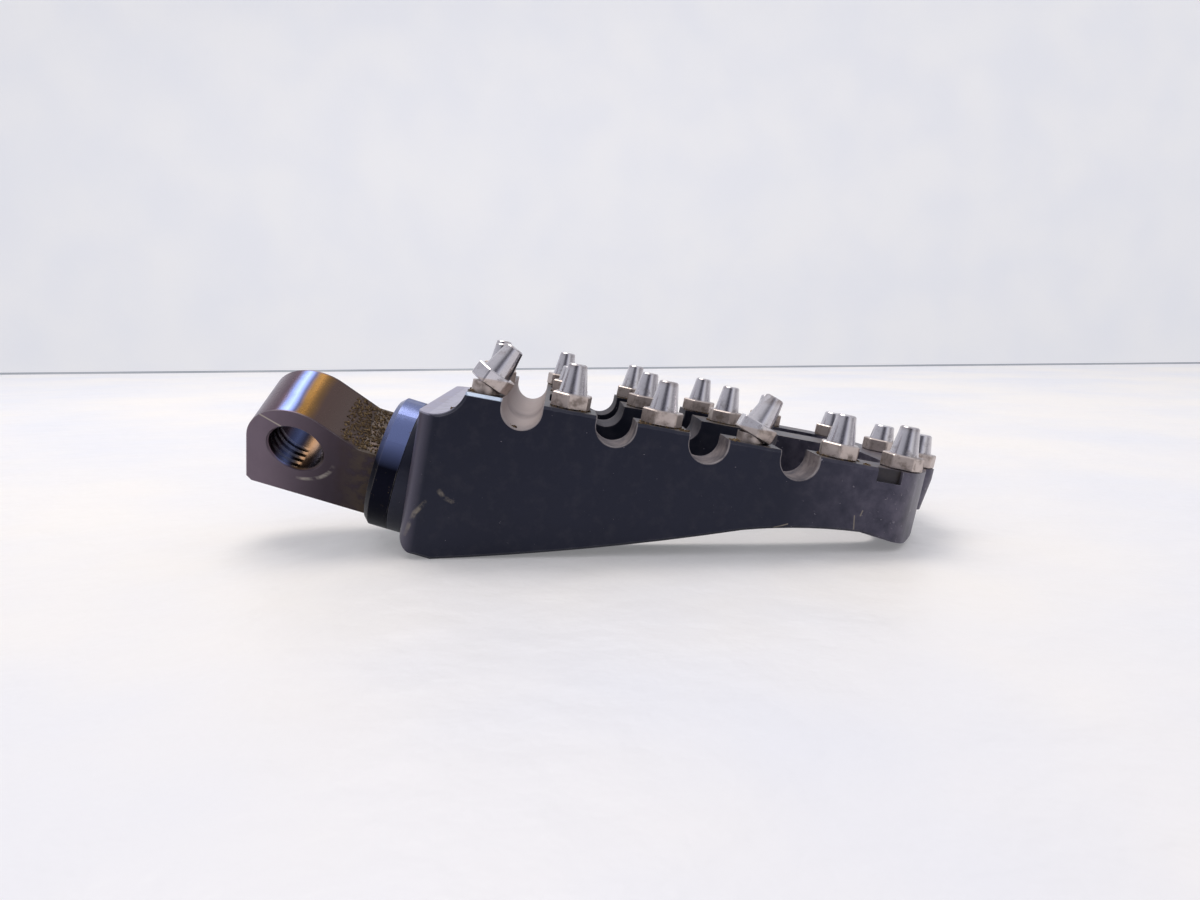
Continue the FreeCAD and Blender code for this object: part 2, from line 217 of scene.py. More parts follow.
def edges(tree, radius):
    """1 on edges that wear reaches, found by comparing the face with its rounded neighbour."""
    soft = add(tree, "ShaderNodeBevel", {"Radius": radius * MM}, samples=EDGE_SAMPLES).outputs[0]
    hard = add(tree, "ShaderNodeNewGeometry").outputs["Normal"]
    match = add(tree, "ShaderNodeVectorMath", {0: soft, 1: hard}, operation="DOT_PRODUCT")
    return step(tree, match.outputs["Value"], *EDGE_COSINES)


def streaks(tree, u, v, lines, width):
    """1 on short straight lines, each given by its two ends in the plane of u and v (mm)."""
    point = add(tree, "ShaderNodeCombineXYZ", {0: u, 1: v}).outputs[0]
    nearest = None
    for first, last in lines:
        a = Vector((*first, 0.0))
        span = Vector((*last, 0.0)) - a
        arm = add(tree, "ShaderNodeVectorMath", {0: point, 1: a}, operation="SUBTRACT").outputs[0]
        along = add(tree, "ShaderNodeVectorMath", {0: arm, 1: span / span.length_squared},
                    operation="DOT_PRODUCT").outputs["Value"]
        held = add(tree, "ShaderNodeClamp", {0: along}).outputs[0]
        foot = add(tree, "ShaderNodeVectorMath", {0: span, "Scale": held},
                   operation="SCALE").outputs[0]
        away = add(tree, "ShaderNodeVectorMath", {0: arm, 1: foot},
                   operation="DISTANCE").outputs["Value"]
        nearest = away if nearest is None else both(tree, nearest, away, "MINIMUM")
    return step(tree, nearest, width, width * STREAK_CORE)


def ramp(tree, value, stops):
    """Colours along a value; each stop is a place from 0 to 1 and a hex colour."""
    made = add(tree, "ShaderNodeValToRGB", {"Fac": value})
    bands = made.color_ramp.elements
    bands[0].position, bands[1].position = stops[0][0], stops[-1][0]
    bands[0].color, bands[1].color = linear(stops[0][1]), linear(stops[-1][1])
    for place, code in stops[1:-1]:
        bands.new(place).color = linear(code)
    return made.outputs[0]


def relief(tree, height, depth, normal=None):
    """Bump of that depth in millimetres."""
    inputs = {"Height": height, "Distance": depth * MM, "Strength": 1.0}
    if normal is not None:
        inputs["Normal"] = normal
    return add(tree, "ShaderNodeBump", inputs).outputs[0]


def finish_shader(shader, tree, **sockets):
    """Sets or links the shader's inputs by name."""
    names = {"colour": "Base Color", "metal": "Metallic", "rough": "Roughness", "normal": "Normal"}
    for key, value in sockets.items():
        socket = shader.inputs[names[key]]
        if isinstance(value, bpy.types.NodeSocket):
            tree.links.new(value, socket)
        else:
            socket.default_value = value


def dress(node_name, material):
    """Gives a CAD node its material."""
    mesh = frame["nodes"][node_name].data
    mesh.materials.clear()
    mesh.materials.append(material)


print("mid grey in linear light", round(linear("#808080")[0], 4))

# %% [markdown]
# ## Black anodised aluminium
# The frame was milled from billet, so its walls have a fine satin grain, and was then anodised
# black. Anodising is a thin hard oxide: dark and slightly blue, with a soft sheen. It wears pale on
# its edges, down to bare metal on the inner land's front bevel, which also carries a painted
# pale-blue highlight. A patchy grey painted sheen lightens the curved nose and the upright inner
# corner, where they turn to the light. The channels hold road dust, which is why they look paler
# than the walls. All of these are masks laid over the black, each found from where the point is in
# peg axes.

# %% Anodised frame
# Where each mark lies, in peg axes (mm). A pair runs from where the mark is absent to where it
# is full; two pairs are the two ends of a mark.
FRONT_FACE_Y = (2.0, 0.5)
# painted sheen on the curved nose, from where it starts to where it is full
NOSE_SHEEN_X = (30.0, 56.0)
# painted sheen on the upright corner at the inner end
CORNER_X = ((-30.0, -32.0), (-33.2, -33.0))    # upright corner at the inner end
NICKS_X = (20.0, 50.0)
FIRST_CHANNEL_X = (-12.4, -12.9)
CHANNEL_DUST_Y = (16.0, 8.0)
CHANNEL_RIM_Y = (0.9, 0.5)
DECK_Z = (DECK - 0.15, DECK)
LEDGE_X, LEDGE_Y, LEDGE_Z = (-26.6, -27.4), (0.3, 0.6), (-0.4, -0.1)
NOTCH_X, NOTCH_Y = ((44.5, 44.7), (49.1, 48.9)), ((0.9, 1.1), (1.4, 1.3))
INNER_LAND_X = ((-27.5, -26.5), (-19.4, -20.0))
BEVEL_Y, BEVEL_Z = (0.62, 0.5), (DECK - 0.62, DECK - 0.5)
CORNER_SCUFF = (((-31.9, -20.8), (-31.2, -18.6)), ((-31.2, -18.6), (-30.7, -16.8)),
                ((-30.7, -16.8), (-29.1, -14.6)), ((-27.2, -12.4), (-26.3, -13.3)),
                ((-26.3, -13.3), (-24.3, -13.9)))
NOSE_SCUFFS = (((42.3, -4.2), (42.7, -6.5)), ((43.5, -3.1), (43.3, -4.0)),
               ((31.3, -7.6), (29.2, -8.6)))
CORNER_SCUFF_WIDTH, NOSE_SCUFF_WIDTH = 0.5, 0.14


def channel_mask(tree, x, z):
    """1 on the surfaces of the scalloped channels."""
    from_first = both(tree, x, CHANNEL_FIRST, "SUBTRACT")
    across = both(tree, from_first, CHANNEL_PITCH / 2.0, "PINGPONG")
    below = both(tree, both(tree, z, CHANNEL_RADIUS, "SUBTRACT"), 0.0, "MINIMUM")
    arm = add(tree, "ShaderNodeCombineXYZ", {0: across, 1: below}).outputs[0]
    away = add(tree, "ShaderNodeVectorMath", {0: arm}, operation="LENGTH").outputs["Value"]
    inside = step(tree, away, CHANNEL_RADIUS + 0.16, CHANNEL_RADIUS + 0.08)
    return both(tree, inside, step(tree, x, LAST_CHANNEL_END, LAST_CHANNEL_END - 0.5))


def anodised_aluminium():
    """Black oxide under a painted sheen, dust, scuffs and dirt; painted shadow with dirt by the first nose
    cleat, and a painted pale-blue highlight on unanodised metal at the inner land's front bevel.
    """
    material, tree, shader = start("anodised_aluminium_black")
    place, x, y, z = peg_axes(tree)
    cloud = noise(tree, place, size=14.0)
    patch = noise(tree, place, size=3.0, detail=5.0, roughness=0.6)
    grain = noise(tree, place, size=0.25, detail=2.0)
    speck = noise(tree, place, size=0.9, detail=3.0, roughness=0.7)
    on_front = step(tree, y, *FRONT_FACE_Y)

    # black oxide, a little uneven
    colour = layer(tree, linear("#06070e"), linear("#0d0f1a"), cloud)
    # painted sheen, grey and patchy: stronger towards the curved nose, and on the upright corner, where they
    # turn to the light
    nose_sheen = both(tree, step(tree, x, *NOSE_SHEEN_X), step(tree, patch, 0.2, 0.8))
    corner = within(tree, x, *CORNER_X)
    painted_sheen = both(tree, both(tree, nose_sheen, 0.9), both(tree, corner, 0.4), "ADD")
    colour = layer(tree, colour, linear("#77707f"), painted_sheen)
    # thin dust all over
    colour = layer(tree, colour, linear("#6f6a6b"), step(tree, patch, 0.5, 0.85), strength=0.1)
    # pale specks and nicks, denser near the nose
    nick = step(tree, weighted(tree, speck, (step(tree, x, *NICKS_X), 0.05)), 0.7, 0.73)
    colour = layer(tree, colour, linear("#8f8a92"), nick, strength=0.7)
    # long scuff low on the inner corner, and short ones by the nose
    scuff = both(tree, streaks(tree, x, z, CORNER_SCUFF, CORNER_SCUFF_WIDTH),
                 step(tree, patch, 0.4, 0.6))
    lines = both(tree, scuff, streaks(tree, x, z, NOSE_SCUFFS, NOSE_SCUFF_WIDTH), "MAXIMUM")
    colour = layer(tree, colour, linear("#a39884"), both(tree, lines, on_front), strength=0.55)
    # channels: dusty, dirtier in the first one, with a clean rim
    channel = channel_mask(tree, x, z)
    first = step(tree, x, *FIRST_CHANNEL_X)
    dirt = layer(tree, linear("#3a3436"), linear("#877c79"), step(tree, patch, 0.35, 0.7))
    dirt = layer(tree, dirt, linear("#ab9f9b"), both(tree, first, step(tree, cloud, 0.2, 0.5)))
    dustiest = both(tree, first, step(tree, y, *CHANNEL_DUST_Y), "MAXIMUM")
    dusty = both(tree, weighted(tree, 0.25, (dustiest, 0.6)), channel)
    colour = layer(tree, colour, dirt, dusty)
    rim = both(tree, channel, step(tree, y, *CHANNEL_RIM_Y))
    colour = layer(tree, colour, linear("#8d8786"), both(tree, rim, step(tree, patch, 0.3, 0.6)))
    # dirt on the deck, round the cleats
    deck = both(tree, step(tree, z, *DECK_Z), step(tree, patch, 0.42, 0.6))
    colour = layer(tree, colour, linear("#544a3c"), deck, strength=0.7)
    # ledge and ramp at the inner end, rubbed pale by the bracket
    ledge = both(tree, step(tree, x, *LEDGE_X), step(tree, z, *LEDGE_Z))
    ledge = both(tree, ledge, step(tree, y, *LEDGE_Y))
    colour = layer(tree, colour, linear("#a3a2b4"), both(tree, ledge, step(tree, patch, 0.1, 0.5)))
    # painted shadow and packed dirt in the small notch by the first nose cleat, under its hexagon: near
    # black mixed with brown
    notch_shadow_and_dirt = both(tree, within(tree, x, *NOTCH_X), within(tree, y, *NOTCH_Y))
    colour = layer(tree, colour, layer(tree, linear("#0d0c0b"), linear("#4a4234"), patch), notch_shadow_and_dirt)
    # wear on edges, and bare metal on the inner land's front bevel, coloured pale blue as a painted
    # highlight
    worn = both(tree, edges(tree, 0.3), step(tree, patch, 0.4, 0.7))
    colour = layer(tree, colour, linear("#6b6a74"), worn, strength=0.5)
    # painted highlight: pale blue on the inner land's front bevel
    bevel = both(tree, step(tree, y, *BEVEL_Y), step(tree, z, *BEVEL_Z))
    bevel_highlight = both(tree, within(tree, x, *INNER_LAND_X), bevel)
    colour = layer(tree, colour, linear("#c3d0e2"), bevel_highlight)

    rough = weighted(tree, 0.3, (patch, 0.2), (channel, 0.3))
    bumps = relief(tree, grain, depth=0.01)
    bumps = relief(tree, both(tree, nick, -1.0), depth=0.04, normal=bumps)
    finish_shader(shader, tree, colour=colour, rough=rough, normal=bumps, metal=bevel_highlight)
    shader.inputs["Specular Tint"].default_value = linear("#d6dbff")
    return material


dress("peg_body", anodised_aluminium())
print("frame dressed")

# %% [markdown]
# ## Blued steel
# The mount was turned and milled from steel, then heat-blued. Blueing is a film of oxide whose
# thickness gives its colour, so it drifts from grey-violet to blue and straw gold, and it is
# still a metal with a metal's reflections. Window reflections are painted into those bands as well:
# a pale blue band with a dark line after it, and gold that shows in the bore. The top of the collar
# carries a painted highlight, and the bore is darkened with painted shade. Handling and mud dull
# it. The bore keeps the marks of a coarse cutting tool near its front mouth.

# %% Blued mount
# Places are along (x), across (y) and above (z) the mount's axis, in mm from its seat.
PIN_BORE_RADIUS = 4.8
BORE_MARK_PITCH = 1.35
BORE_MARK_DEPTH = 0.55
EYE_CENTRE_X = 18.9
COLLAR_END = 4.4
# painted highlight along the top of the collar, between these heights above the axis
COLLAR_HIGHLIGHT_Z = (7.6, 10.4)                   # the top of the collar catches the light
FLAT_X = (13.0, 25.0)                          # the eye's side faces, darker by the neck
SIDE_FACE_Y = (5.5, 5.8)
NECK_X = ((12.0, 6.0), (COLLAR_END, COLLAR_END + 0.2))
SPECKS_X = (16.0, 2.0)
RUB_RADIUS = ((6.6, 6.9), (7.6, 7.2))          # arc below the bore, round the pin's axis
RUB_X, RUB_Z = (18.6, 17.4), (1.0, -1.0)
BANDS_START, BANDS_END = 28.0, 4.0           # the bands run from the eye to the collar
# the pale blue band and the dark line after it are painted reflections, and the gold also stands for the
# gold reflection in the bore
TEMPER_AND_REFLECTION = ((0.0, "#84788a"), (0.14, "#74636c"), (0.22, "#5c4a56"), (0.26, "#525f8c"),
          (0.3, "#6374a8"), (0.345, "#2b2e48"), (0.375, "#5c4524"), (0.41, "#7d5c30"),
          (0.45, "#74593a"), (0.5, "#5c4c48"), (0.65, "#5f524e"), (1.0, "#544c4c"))
EYE_SCRATCH = (((26.8, 8.4), (19.4, 5.7)),)
EYE_SCRATCH_WIDTH = 0.22


def mount_axes(tree):
    """Sockets for a point along, across and above the mount's axis, in millimetres."""
    place = add(tree, "ShaderNodeTexCoord").outputs["Object"]
    from_seat = add(tree, "ShaderNodeVectorMath", {0: place, 1: SEAT},
                    operation="SUBTRACT").outputs[0]
    found = []
    for axis in (MOUNT_X, MOUNT_Y, MOUNT_Z):
        dot = add(tree, "ShaderNodeVectorMath", {0: from_seat, 1: axis / MM},
                  operation="DOT_PRODUCT")
        found.append(dot.outputs["Value"])
    joined = add(tree, "ShaderNodeCombineXYZ", dict(enumerate(found))).outputs[0]
    return joined, *found


def bore_axes(tree):
    """Sockets for a point's distance from the pin's axis and its place along it, in mm."""
    place = add(tree, "ShaderNodeTexCoord").outputs["Object"]
    along = add(tree, "ShaderNodeVectorMath", {0: place, 1: PIVOT_Y / MM},
                operation="DOT_PRODUCT").outputs["Value"]
    arm = add(tree, "ShaderNodeVectorMath", {0: place, 1: PIVOT_Y},
              operation="CROSS_PRODUCT").outputs[0]
    reach = add(tree, "ShaderNodeVectorMath", {0: arm}, operation="LENGTH").outputs["Value"]
    return both(tree, reach, 1 / MM), along


def blued_steel():
    """Temper colours with painted reflections on a metal, with mud on the neck, painted shade in the bore, a
    painted highlight on the collar and rubbed marks.
    """
    material, tree, shader = start("blued_steel")
    place, x, y, z = mount_axes(tree)
    cloud = noise(tree, place, size=9.0)
    patch = noise(tree, place, size=2.2, detail=5.0, roughness=0.6)
    grain = noise(tree, place, size=0.22, detail=2.0)
    speck = noise(tree, place, size=0.8, detail=3.0, roughness=0.7)

    # temper colours and painted reflections run in bands along the axis; flat faces and the collar are
    # darker, and the collar's top has a painted highlight
    drift = both(tree, both(tree, cloud, 0.5, "SUBTRACT"), 1.6)
    along = step(tree, both(tree, x, drift, "ADD"), BANDS_START, BANDS_END)
    film = ramp(tree, along, TEMPER_AND_REFLECTION)
    flat = layer(tree, linear("#463d46"), linear("#6a5f6c"), step(tree, x, *FLAT_X))
    face = step(tree, both(tree, y, 0.0, "ABSOLUTE"), *SIDE_FACE_Y)
    on_eye = step(tree, x, COLLAR_END, COLLAR_END + 0.3)
    colour = layer(tree, film, flat, both(tree, face, on_eye))
    # the collar: dark blued steel with a painted highlight along its top
    on_collar = step(tree, x, COLLAR_END + 0.1, COLLAR_END)
    collar_highlight = step(tree, z, *COLLAR_HIGHLIGHT_Z)
    blue = layer(tree, linear("#13141f"), linear("#66719c"), collar_highlight)
    colour = layer(tree, colour, blue, on_collar)
    # brown film and mud on the neck, next to the collar
    mud = both(tree, within(tree, x, *NECK_X), step(tree, patch, 0.36, 0.56))
    colour = layer(tree, colour, linear("#4a3b2a"), mud, strength=0.85)
    low_specks = both(tree, step(tree, speck, 0.66, 0.7), step(tree, x, *SPECKS_X))
    colour = layer(tree, colour, linear("#5c5040"), low_specks, strength=0.7)

    # painted shade darkens the bore, with the tool's marks towards its front mouth
    reach, along_bore = bore_axes(tree)
    in_bore = step(tree, reach, PIN_BORE_RADIUS + 0.12, PIN_BORE_RADIUS + 0.05)
    ring = both(tree, along_bore, BORE_MARK_PITCH / 2.0, "PINGPONG")
    marks = both(tree, both(tree, ring, in_bore), step(tree, along_bore, 0.2, 1.0))
    marks = both(tree, marks, step(tree, x, EYE_CENTRE_X - 1.0, EYE_CENTRE_X + 1.5))
    # painted shade inside the bore
    colour = layer(tree, colour, linear("#2a2730"), in_bore, strength=0.6)
    # arc rubbed bright below the bore by the clevis, and a scratch above it
    low_side = both(tree, step(tree, x, *RUB_X), step(tree, z, *RUB_Z))
    swept = both(tree, within(tree, reach, *RUB_RADIUS), low_side)
    cut = streaks(tree, x, z, EYE_SCRATCH, EYE_SCRATCH_WIDTH)
    rub = both(tree, both(tree, swept, step(tree, patch, 0.4, 0.6)), cut, "MAXIMUM")
    rub = both(tree, rub, face)
    worn = both(tree, edges(tree, 0.3), step(tree, patch, 0.35, 0.65))
    bright = both(tree, both(tree, rub, 0.9), both(tree, worn, 0.35), "MAXIMUM")
    colour = layer(tree, colour, linear("#a09a94"), bright)

    rough = weighted(tree, 0.16, (patch, 0.2), (face, 0.2), (mud, 0.4))
    metal = step(tree, mud, 0.9, 0.2)
    bumps = relief(tree, grain, depth=0.006)
    bumps = relief(tree, marks, depth=BORE_MARK_DEPTH, normal=bumps)
    finish_shader(shader, tree, colour=colour, rough=rough, normal=bumps, metal=metal)
    return material


dress("pivot_mount", blued_steel())
print("mount dressed")

# %% [markdown]
# ## Turned stainless steel
# Each cleat is turned from hexagon bar: the cone has the lathe's fine rings and a bright skin,
# while the hexagon keeps the bar's drawn surface, which holds a thin film of dirt. One material
# does all of them, because height above the deck says which part of the cleat a point is on.

# %% Cleats
# Heights in peg axes (mm), from where a mark is absent to where it is full.
HEXAGON_Z = (HEX_TOP + 0.15, HEX_TOP - 0.1)
GRIME_Z = (DECK + 5.5, DECK + 1.0)
TIPS_Z = (11.2, 12.2)
LATHE_RINGS = (0.15, 0.15, 7.0)                # stretch of the noise: fine along the cleat only


def turned_stainless():
    """Bright cones, filmed hexagons and soil between them, told apart by height."""
    material, tree, shader = start("turned_stainless_steel")
    place, _, _, z = peg_axes(tree)
    patch = noise(tree, place, size=1.6, detail=5.0, roughness=0.6)
    cloud = noise(tree, place, size=6.0)
    stretched = add(tree, "ShaderNodeMapping", {"Vector": place, "Scale": LATHE_RINGS}).outputs[0]
    ring = noise(tree, stretched, size=1.0, detail=2.0)
    colour = layer(tree, linear("#bab7bd"), linear("#dad7da"), cloud)
    hexagon = step(tree, z, *HEXAGON_Z)
    film = layer(tree, linear("#d6c8be"), linear("#a08c7e"), patch)
    colour = layer(tree, colour, film, hexagon, strength=0.75)
    # soil caught on the hexagons, thinning out up the cones
    grime = both(tree, step(tree, patch, 0.5, 0.64), step(tree, z, *GRIME_Z))
    colour = layer(tree, colour, linear("#57473a"), grime, strength=0.65)
    # brown stains on the points, and bright edges
    tips = both(tree, step(tree, z, *TIPS_Z), step(tree, patch, 0.4, 0.6))
    colour = layer(tree, colour, linear("#7d6a60"), tips, strength=0.6)
    colour = layer(tree, colour, linear("#dcdadd"), edges(tree, 0.15), strength=0.4)
    rough = weighted(tree, 0.14, (patch, 0.14), (hexagon, 0.2))
    metal = step(tree, grime, 1.2, 0.2)
    bumps = relief(tree, ring, depth=0.006)
    finish_shader(shader, tree, colour=colour, rough=rough, normal=bumps, metal=metal)
    return material


stainless = turned_stainless()
cleats = sorted(name for name in frame["nodes"] if name.startswith("cleat_"))
for name in cleats:
    dress(name, stainless)
print("cleats dressed", len(cleats))

# %% [markdown]
# ## Screw and washer
# The clamp screw is a stock socket-head screw with a black oxide finish, a thin matte film that
# holds oil. The washer is plain zinc plate, which goes cloudy as it ages.

# %% Fasteners


def plated(name, dark, pale, smoothest):
    """A plated or oxidised metal; smoothest is its lowest roughness."""
    material, tree, shader = start(name)
    place = peg_axes(tree)[0]
    patch = noise(tree, place, size=1.2, detail=4.0, roughness=0.6)
    colour = layer(tree, linear(dark), linear(pale), patch)
    colour = layer(tree, colour, linear("#a2a2a6"), edges(tree, 0.2), strength=0.4)
    rough = weighted(tree, smoothest, (patch, 0.25))
    bumps = relief(tree, noise(tree, place, size=0.2, detail=2.0), depth=0.006)
    finish_shader(shader, tree, colour=colour, rough=rough, normal=bumps, metal=1.0)
    return material


dress("clamp_screw", plated("black_oxide_steel", "#1b1b1d", "#2c2b2d", smoothest=0.35))
dress("clamp_washer", plated("zinc_plate", "#9a9c9c", "#c0c2c0", smoothest=0.3))
print("fasteners dressed")

# %% [markdown]
# ## Soil
# Dried mud stays where nothing rubs it away: on the neck beside the collar, and round the feet
# of the cleats. It breaks into crumbs under a millimetre long. Geometry Nodes scatters them over
# patches laid on the surface. Each crumb is a ball of few faces, squashed and turned at random.

# %% Soil crumbs
CRUMB_SEED = 7
NECK_FROM, NECK_CORNER, NECK_TO = 4.5, 8.0, 12.0   # along the mount's axis, mm
NECK_TOP, NECK_HALF = 6.4, 5.4                 # height above the axis and half width, mm
NECK_SLOPE = math.radians(25.0)
# little square patches: x, y, z in peg axes and half width, mm
CLOD_SPOTS = ((-24.9, 3.6, DECK, 0.6), (-24.6, 6.5, DECK, 0.8), (-17.2, 2.2, 0.15, 0.6),
              (-27.6, 2.5, 1.2, 0.4), (3.8, 1.4, DECK, 0.7), (11.0, 1.6, DECK, 0.8),
              (19.7, 1.5, DECK, 0.9), (43.0, 1.5, DECK, 0.6))
LAND_START = -25.5                             # the hollow ramp ends here, mm
CRUMB_RADIUS = 0.2                             # mm
CRUMB_LEAST, CRUMB_MOST = (0.4, 0.4, 0.3), (2.2, 1.6, 1.2)   # times the radius, on each axis
RING_INNER, RING_OUTER = 3.1, 3.8              # mm, round a cleat's axis
RING_SIDES = 12
BENT_CLEATS = ("cleat_front_1", "cleat_front_4")
FOOT_HEIGHT = 2.0                              # mm, the part of a cleat that gives its middle


def crumb_tree():
    """Geometry Nodes: squashed, turned balls of soil scattered over a mesh."""
    tree = bpy.data.node_groups.new("soil_crumbs", "GeometryNodeTree")
    sockets = (("Geometry", "NodeSocketGeometry"), ("Per Square Metre", "NodeSocketFloat"),
               ("Radius", "NodeSocketFloat"), ("Seed", "NodeSocketInt"),
               ("Material", "NodeSocketMaterial"))
    for name, kind in sockets:
        tree.interface.new_socket(name, in_out="INPUT", socket_type=kind)
    tree.interface.new_socket("Geometry", in_out="OUTPUT", socket_type="NodeSocketGeometry")
    given = add(tree, "NodeGroupInput").outputs
    seed = given["Seed"]
    points = add(tree, "GeometryNodeDistributePointsOnFaces", {
        "Mesh": given["Geometry"], "Density": given["Per Square Metre"], "Seed": seed}).outputs[0]
    ball = add(tree, "GeometryNodeMeshIcoSphere", {
        "Radius": given["Radius"], "Subdivisions": 1}).outputs[0]
    squash = add(tree, "FunctionNodeRandomValue", {
        0: CRUMB_LEAST, 1: CRUMB_MOST, "Seed": seed}, data_type="FLOAT_VECTOR").outputs[0]
    turned = add(tree, "FunctionNodeRandomValue", {
        0: (0.0, 0.0, 0.0), 1: (math.tau,) * 3, "Seed": seed}, data_type="FLOAT_VECTOR").outputs[0]
    placed = add(tree, "GeometryNodeInstanceOnPoints", {
        "Points": points, "Instance": ball, "Scale": squash, "Rotation": turned}).outputs[0]
    real = add(tree, "GeometryNodeRealizeInstances", {0: placed}).outputs[0]
    painted = add(tree, "GeometryNodeSetMaterial", {0: real, "Material": given["Material"]})
    add(tree, "NodeGroupOutput", {"Geometry": painted.outputs[0]})
    return tree


def dried_soil():
    """Dull brown earth, uneven from crumb to crumb."""
    material, tree, shader = start("dried_soil")
    place = peg_axes(tree)[0]
    clod = noise(tree, place, size=0.6, detail=3.0, roughness=0.6)
    colour = ramp(tree, clod, ((0.3, "#3a2a1c"), (0.5, "#5d4a33"), (0.7, "#8a7450")))
    bumps = relief(tree, noise(tree, place, size=0.1, detail=3.0), depth=0.04)
    finish_shader(shader, tree, colour=colour, rough=0.95, normal=bumps)
    return material


def scatter(name, corners, faces, per_square_mm, body, slot):
    """Crumbs over the patches given, made into one plain mesh that rides on the body."""
    patch = bpy.data.meshes.new(name + "_patch")
    patch.from_pydata(corners, [], faces)
    carrier = bpy.data.objects.new(name + "_carrier", patch)
    bpy.context.scene.collection.objects.link(carrier)
    nodes = carrier.modifiers.new("crumbs", "NODES")
    nodes.node_group = crumbs
    values = {"Per Square Metre": per_square_mm / MM ** 2, "Radius": CRUMB_RADIUS * MM,
              "Seed": CRUMB_SEED, "Material": soil}
    for item in crumbs.interface.items_tree:
        if item.name in values:
            nodes[item.identifier] = values[item.name]
    ready = carrier.evaluated_get(bpy.context.evaluated_depsgraph_get())
    mesh = bpy.data.meshes.new_from_object(ready)
    mesh.name = name
    bpy.data.objects.remove(carrier)
    piece = bpy.data.objects.new(name, mesh)
    bpy.context.scene.collection.objects.link(piece)
    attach(piece, body)
    print(name, "faces", len(mesh.polygons))


def neck_patch():
    """Two strips over the top of the neck: the flat by the collar, and the start of the slope."""
    rise = (NECK_TO - NECK_CORNER) * math.tan(NECK_SLOPE)
    stations = ((NECK_FROM, NECK_TOP), (NECK_CORNER, NECK_TOP), (NECK_TO, NECK_TOP + rise))
    corners = [mount_point(x, y, z) for x, z in stations for y in (-NECK_HALF, NECK_HALF)]
    return corners, [(0, 1, 3, 2), (2, 3, 5, 4)]


def loose_patches():
    """Patches where clods lie: by the front cleats, on the ramp and in the first channel."""
    corners, faces = [], []
    for x, y, z, reach in CLOD_SPOTS:
        first = len(corners)
        corners += [peg_point(x + dx * reach, y + dy * reach, z)
                    for dx, dy in ((-1, -1), (1, -1), (1, 1), (-1, 1))]
        faces.append(tuple(range(first, first + 4)))
    return corners, faces


def on_land(x):
    """The x given, or the nearest one where there is deck and no channel."""
    x = max(x, LAND_START)
    for index in range(CHANNEL_COUNT):
        centre = CHANNEL_FIRST + CHANNEL_PITCH * index
        reach = CHANNEL_RADIUS + CRUMB_RADIUS
        if abs(x - centre) < reach:
            x = centre + math.copysign(reach, x - centre)
    return x


def foot_rings():
    """A flat ring on the deck round each upright cleat, cut off where a channel begins."""
    corners, faces = [], []
    for name in cleats:
        if "nose" in name or name in BENT_CLEATS:
            continue
        node = frame["nodes"][name]
        points = [node.matrix_world @ v.co for v in node.data.vertices]
        low = min(p.z for p in points)
        foot = [p for p in points if p.z < low + FOOT_HEIGHT * MM]
        middle = sum(foot, Vector()) / len(foot)
        in_peg = PEG_TURN.inverted() @ middle / MM + PIVOT_IN_PEG
        first = len(corners)
        for corner in range(RING_SIDES):
            angle = math.tau * corner / RING_SIDES
            for radius in (RING_INNER, RING_OUTER):
                corners.append(peg_point(on_land(in_peg.x + radius * math.cos(angle)),
                                         in_peg.y + radius * math.sin(angle), DECK))
        for side in range(RING_SIDES):
            this, following = first + 2 * side, first + 2 * ((side + 1) % RING_SIDES)
            faces.append((this, this + 1, following + 1, following))
    return corners, faces


soil = dried_soil()
crumbs = crumb_tree()
scatter("neck_soil", *neck_patch(), per_square_mm=7.0, body="mount", slot="blued_steel")
scatter("deck_soil", *foot_rings(), per_square_mm=3.0, body="peg",
        slot="black_anodised_aluminium")
scatter("clods", *loose_patches(), per_square_mm=9.0, body="peg",
        slot="black_anodised_aluminium")

# %% [markdown]
# ## Table, wall and light
# The peg lies on a white table with a white wall behind, in soft daylight from all round. The far
# edge of the table isn't quite square to the camera. A dome of pale light does most of the work,
# and one soft lamp, behind and above, draws the highlights on the cones and the mount. The table,
# its edging and the wall also glow faintly, a painted fill light that keeps the shadows pale.

# %% Stage
FLOOR = cad_box[0][2]
TABLE_EDGE = (Vector((-900.0, 455.0, 0.0)), Vector((1500.0, 745.0, 0.0)))   # far edge, mm
TABLE_NEAR = -900.0                            # mm
EDGING_HEIGHT = 1.6                            # mm, the strip that shows along the far edge
WALL_BEHIND = Vector((0.0, 0.42, -0.3))
WALL_HEIGHT = Vector((0.0, 0.0, 2.0))
CLOUD_SCALE, RIPPLE_SCALE = 12.0, 70.0         # per metre
DAYLIGHT = 0.88
CEILING = (0.35, 0.75)                         # how far up the dome turns to the ceiling's tone
# the room's brightness all the way round: ahead at 0, left at 0.25, behind the camera at 0.5
# and right at 0.75
AROUND = ((0.0, "#f4f5ff"), (0.25, "#d4d5de"), (0.38, "#c2c3cc"), (0.435, "#5c5c68"),
          (0.475, "#3a3a46"), (0.51, "#8c8c98"), (0.55, "#f2f3ff"), (0.6, "#fdfdff"),
          (0.66, "#b0aeb4"), (0.78, "#cecccf"), (1.0, "#f4f5ff"))


def stage_quad(name, corners, material):
    """One flat four-cornered sheet of the stage."""
    mesh = bpy.data.meshes.new(name)
    mesh.from_pydata(corners, [], [(0, 1, 2, 3)])
    quad = bpy.data.objects.new(name, mesh)
    bpy.context.scene.collection.objects.link(quad)
    mesh.materials.append(material)


